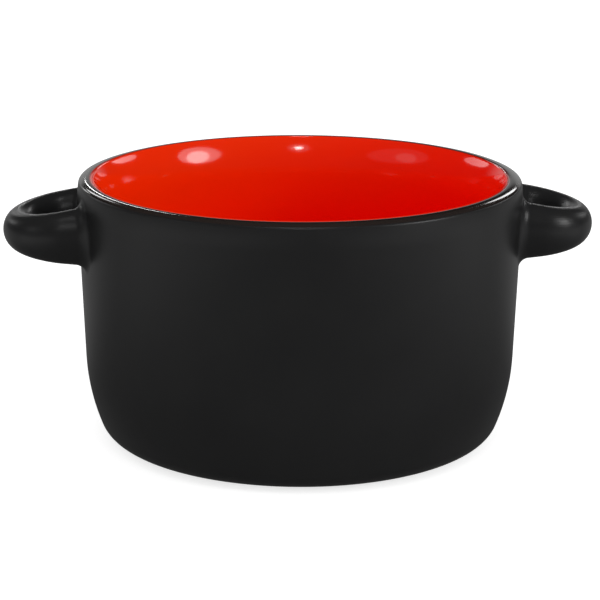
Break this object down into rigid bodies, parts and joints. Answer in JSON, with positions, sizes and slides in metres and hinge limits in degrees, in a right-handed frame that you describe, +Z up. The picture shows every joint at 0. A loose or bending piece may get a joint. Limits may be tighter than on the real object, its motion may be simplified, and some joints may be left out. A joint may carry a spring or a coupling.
{
  "type": "soup bowl",
  "caption": "Round straight-walled stoneware soup bowl with loop handles on opposite sides, a gloss red lining, a gloss black lip and a matte black outside, on a bare foot ring.",
  "frame": {"origin": "centre of the foot ring on the table", "axes": "+Z up through the mouth, +X through the right handle, so the two handles lie along X"},
  "size_m": [0.1592, 0.1198, 0.0715],
  "materials": {
    "stoneware": "bare fired stoneware",
    "matte_black_glaze": "matte black glaze",
    "gloss_black_glaze": "gloss black glaze",
    "gloss_red_glaze": "gloss red glaze"
  },
  "bodies": {
    "root": {"bowl_body": "stoneware", "inner_glaze": "gloss_red_glaze", "rim_glaze": "gloss_black_glaze", "outer_glaze": "matte_black_glaze", "base_glaze": "matte_black_glaze", "left_handle": "stoneware", "left_handle_glaze": "matte_black_glaze", "left_front_slip_joint": "matte_black_glaze", "left_back_slip_joint": "matte_black_glaze", "right_handle": "stoneware", "right_handle_glaze": "matte_black_glaze", "right_front_slip_joint": "matte_black_glaze", "right_back_slip_joint": "matte_black_glaze"}
  },
  "joints": []
}
